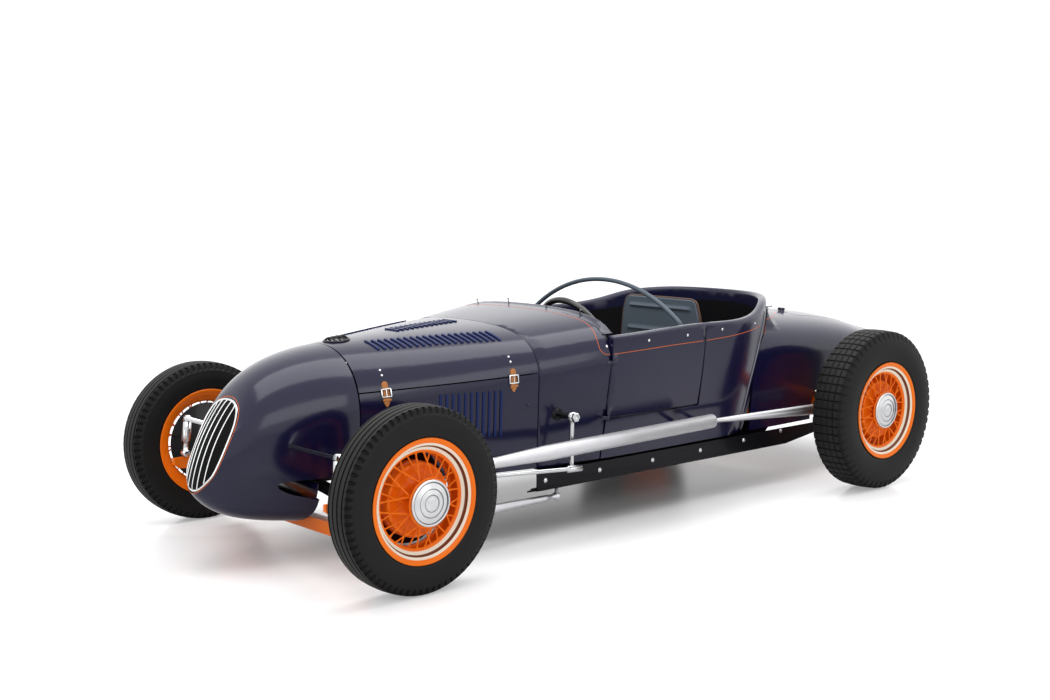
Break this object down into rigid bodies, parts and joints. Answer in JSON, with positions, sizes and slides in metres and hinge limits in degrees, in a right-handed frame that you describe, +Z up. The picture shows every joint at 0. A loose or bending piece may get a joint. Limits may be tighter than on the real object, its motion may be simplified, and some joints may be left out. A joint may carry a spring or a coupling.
{
  "type": "street rod roadster",
  "caption": "Open two-axle roadster with a long louvered hood, wire wheels, side pipes, opening doors, deck lid and lift-off hood top.",
  "frame": {"origin": "on the floor in the middle of the overall length and width", "axes": "+X forward to the grille, +Y to the left side of the car, +Z up"},
  "size_m": [3.942, 1.72, 0.9839],
  "materials": {
    "body_paint": "gloss",
    "chassis_black": "gloss",
    "orange_paint": "gloss",
    "grey_paint": "satin",
    "polished": "polished",
    "chrome": "polished",
    "tyre": "matte",
    "leather": "worn",
    "black_leather": "satin",
    "bare_steel": "satin",
    "mesh_black": "matte",
    "wheel_rim": "satin"
  },
  "bodies": {
    "chassis": {"frame_rails": "chassis_black", "nose_shell": "body_paint", "grille": "chrome", "radiator": "mesh_black", "hood_sides": "body_paint", "cowl": "body_paint", "body_tub": "body_paint", "turtle_deck": "body_paint", "belly_pan": "chassis_black", "cockpit_floor": "chassis_black", "dash_panel": "body_paint", "seat_back": "grey_paint", "seat_cushion": "black_leather", "roll_hoop": "grey_paint", "steering_column": "chassis_black", "front_axle": "orange_paint", "leaf_springs": "chassis_black", "radius_rods": "chrome", "front_shocks": "chrome", "side_louvers": "body_paint", "engine_block": "orange_paint", "gearbox_and_torque_tube": "orange_paint", "rear_axle": "orange_paint", "side_pipes": "polished"},
    "hood": {"hood_top": "body_paint", "hood_straps": "leather", "hood_louvers": "body_paint", "hood_vent": "mesh_black"},
    "deck_lid": {"deck_lid": "body_paint"},
    "door_left": {"door_left": "body_paint"},
    "door_right": {"door_right": "body_paint"},
    "knuckle_left": {"knuckle_left": "chassis_black"},
    "knuckle_right": {"knuckle_right": "chassis_black"},
    "tie_rod": {"tie_rod": "chrome"},
    "pitman_arm": {"pitman_arm": "chrome"},
    "drag_link": {"drag_link": "chrome"},
    "steering_wheel": {"steering_wheel": "wheel_rim"},
    "wheel_front_left": {"front_tyre_left": "tyre", "front_wire_wheel_left": "orange_paint", "front_hub_cap_left": "polished"},
    "wheel_front_right": {"front_tyre_right": "tyre", "front_wire_wheel_right": "orange_paint", "front_hub_cap_right": "polished"},
    "wheel_rear_left": {"rear_tyre_left": "tyre", "rear_wire_wheel_left": "orange_paint", "rear_hub_cap_left": "polished"},
    "wheel_rear_right": {"rear_tyre_right": "tyre", "rear_wire_wheel_right": "orange_paint", "rear_hub_cap_right": "polished"}
  },
  "joints": [
    {"name": "steer_left", "type": "hinge", "parent": "chassis", "child": "knuckle_left", "pos_m": [1.515, 0.655, 0.333], "axis": [0, 0, 1], "range_deg": [-26, 20]},
    {"name": "steer_right", "type": "hinge", "parent": "chassis", "child": "knuckle_right", "pos_m": [1.515, -0.655, 0.333], "axis": [0, 0, 1], "range_deg": [-26, 20]},
    {"name": "wheel_front_left_spin", "type": "hinge", "parent": "knuckle_left", "child": "wheel_front_left", "pos_m": [1.515, 0.75, 0.333], "axis": [0, 1, 0], "continuous": true},
    {"name": "wheel_front_right_spin", "type": "hinge", "parent": "knuckle_right", "child": "wheel_front_right", "pos_m": [1.515, -0.75, 0.333], "axis": [0, 1, 0], "continuous": true},
    {"name": "wheel_rear_left_spin", "type": "hinge", "parent": "chassis", "child": "wheel_rear_left", "pos_m": [-1.125, 0.77, 0.367], "axis": [0, 1, 0], "continuous": true},
    {"name": "wheel_rear_right_spin", "type": "hinge", "parent": "chassis", "child": "wheel_rear_right", "pos_m": [-1.125, -0.77, 0.367], "axis": [0, 1, 0], "continuous": true},
    {"name": "tie_rod_pivot", "type": "hinge", "parent": "knuckle_left", "child": "tie_rod", "pos_m": [1.385, 0.655, 0.23], "axis": [0, 0, 1], "range_deg": [-20, 26]},
    {"name": "pitman_turn", "type": "hinge", "parent": "chassis", "child": "pitman_arm", "pos_m": [0.61, 0.58, 0.497], "axis": [0, 1, 0], "range_deg": [-10.05, 13.06]},
    {"name": "drag_link_pivot", "type": "hinge", "parent": "pitman_arm", "child": "drag_link", "pos_m": [0.61, 0.602, 0.292], "axis": [0, 1, 0], "range_deg": [-13.06, 10.05]},
    {"name": "steering_wheel_turn", "type": "hinge", "parent": "chassis", "child": "steering_wheel", "pos_m": [0.056, 0, 0.702], "axis": [-0.9304, 0, 0.3665], "range_deg": [-208, 160]},
    {"name": "door_left_hinge", "type": "hinge", "parent": "chassis", "child": "door_left", "pos_m": [0.3695, 0.537, 0.47], "axis": [0, -0.1293, -0.9916], "range_deg": [0, 65]},
    {"name": "door_right_hinge", "type": "hinge", "parent": "chassis", "child": "door_right", "pos_m": [0.3695, -0.537, 0.47], "axis": [0, -0.1293, 0.9916], "range_deg": [0, 65]},
    {"name": "deck_lid_hinge", "type": "hinge", "parent": "chassis", "child": "deck_lid", "pos_m": [-1.1475, 0, 0.791], "axis": [0, 1, 0], "range_deg": [0, 50]},
    {"name": "hood_lift", "type": "slide", "parent": "chassis", "child": "hood", "axis": [0, 0, 1], "range_m": [0, 0.35]}
  ],
  "couplings": [
    {"joint": "steer_right", "follows": "steer_left", "ratio": 1},
    {"joint": "tie_rod_pivot", "follows": "steer_left", "ratio": -1},
    {"joint": "pitman_turn", "follows": "steer_left", "ratio": -0.50244},
    {"joint": "drag_link_pivot", "follows": "steer_left", "ratio": 0.50244},
    {"joint": "steering_wheel_turn", "follows": "steer_left", "ratio": 8}
  ]
}
